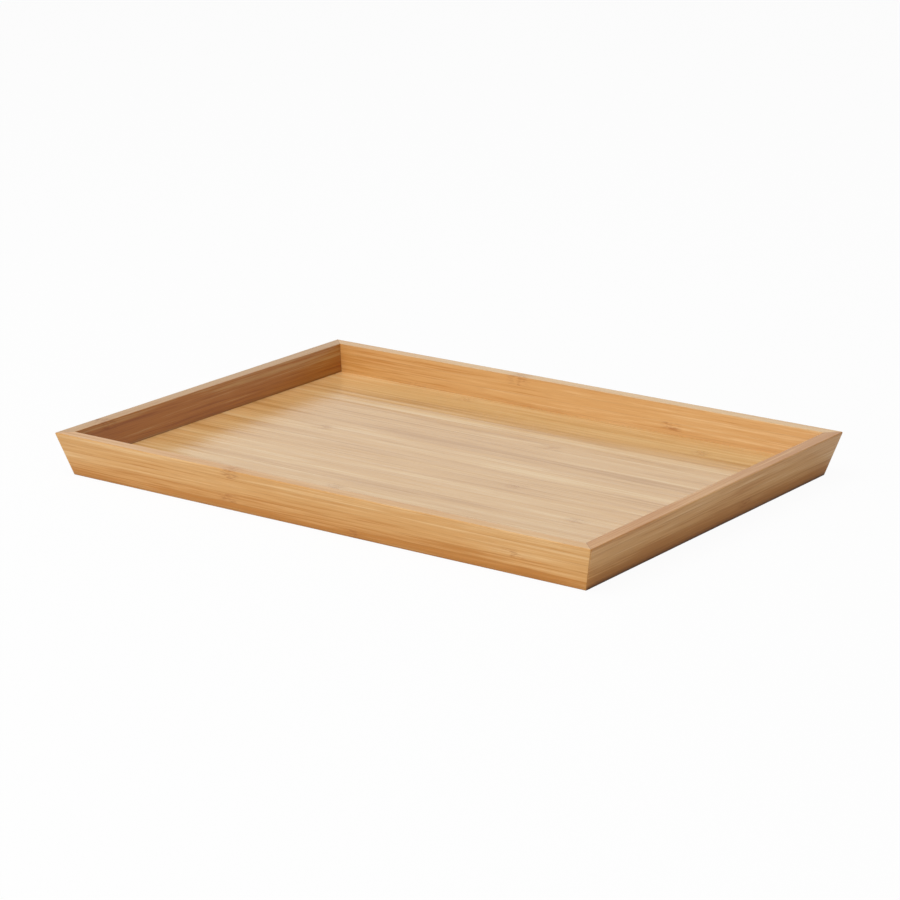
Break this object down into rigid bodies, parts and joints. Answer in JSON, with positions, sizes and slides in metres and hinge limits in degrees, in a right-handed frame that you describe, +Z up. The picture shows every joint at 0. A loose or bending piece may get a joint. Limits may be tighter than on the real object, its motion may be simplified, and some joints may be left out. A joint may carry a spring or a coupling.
{
  "type": "bamboo tray",
  "caption": "Shallow rectangular serving tray of laminated bamboo: mitred rails leaning outwards, grooved to hold a flat base panel of narrow strips.",
  "frame": {"origin": "on the surface that the tray stands on, under the centre of its outline", "axes": "+X along the tray's length, towards the right rail; +Y across it, towards the back rail; +Z up, out of the open top"},
  "size_m": [0.3296, 0.2396, 0.023],
  "materials": {
    "bamboo_rail": "satin clear lacquer",
    "bamboo_base": "semi-gloss clear lacquer",
    "bamboo_spline": "bare"
  },
  "bodies": {
    "root": {"front_rail_strip_1": "bamboo_rail", "front_rail_strip_2": "bamboo_rail", "front_rail_strip_3": "bamboo_rail", "front_rail_strip_4": "bamboo_rail", "front_rail_strip_5": "bamboo_rail", "right_rail_strip_1": "bamboo_rail", "right_rail_strip_2": "bamboo_rail", "right_rail_strip_3": "bamboo_rail", "right_rail_strip_4": "bamboo_rail", "right_rail_strip_5": "bamboo_rail", "back_rail_strip_1": "bamboo_rail", "back_rail_strip_2": "bamboo_rail", "back_rail_strip_3": "bamboo_rail", "back_rail_strip_4": "bamboo_rail", "back_rail_strip_5": "bamboo_rail", "left_rail_strip_1": "bamboo_rail", "left_rail_strip_2": "bamboo_rail", "left_rail_strip_3": "bamboo_rail", "left_rail_strip_4": "bamboo_rail", "left_rail_strip_5": "bamboo_rail", "base_strip_01": "bamboo_base", "base_strip_02": "bamboo_base", "base_strip_03": "bamboo_base", "base_strip_04": "bamboo_base", "base_strip_05": "bamboo_base", "base_strip_06": "bamboo_base", "base_strip_07": "bamboo_base", "base_strip_08": "bamboo_base", "base_strip_09": "bamboo_base", "base_strip_10": "bamboo_base", "base_strip_11": "bamboo_base", "base_strip_12": "bamboo_base", "base_strip_13": "bamboo_base", "base_strip_14": "bamboo_base", "base_strip_15": "bamboo_base", "base_strip_16": "bamboo_base", "base_strip_17": "bamboo_base", "base_strip_18": "bamboo_base", "base_strip_19": "bamboo_base", "base_strip_20": "bamboo_base", "base_strip_21": "bamboo_base", "base_strip_22": "bamboo_base", "base_strip_23": "bamboo_base", "base_strip_24": "bamboo_base", "base_strip_25": "bamboo_base", "base_strip_26": "bamboo_base", "base_strip_27": "bamboo_base", "base_strip_28": "bamboo_base", "base_strip_29": "bamboo_base", "base_strip_30": "bamboo_base", "corner_spline_front_left": "bamboo_spline", "corner_spline_front_right": "bamboo_spline", "corner_spline_back_right": "bamboo_spline", "corner_spline_back_left": "bamboo_spline"}
  },
  "joints": []
}
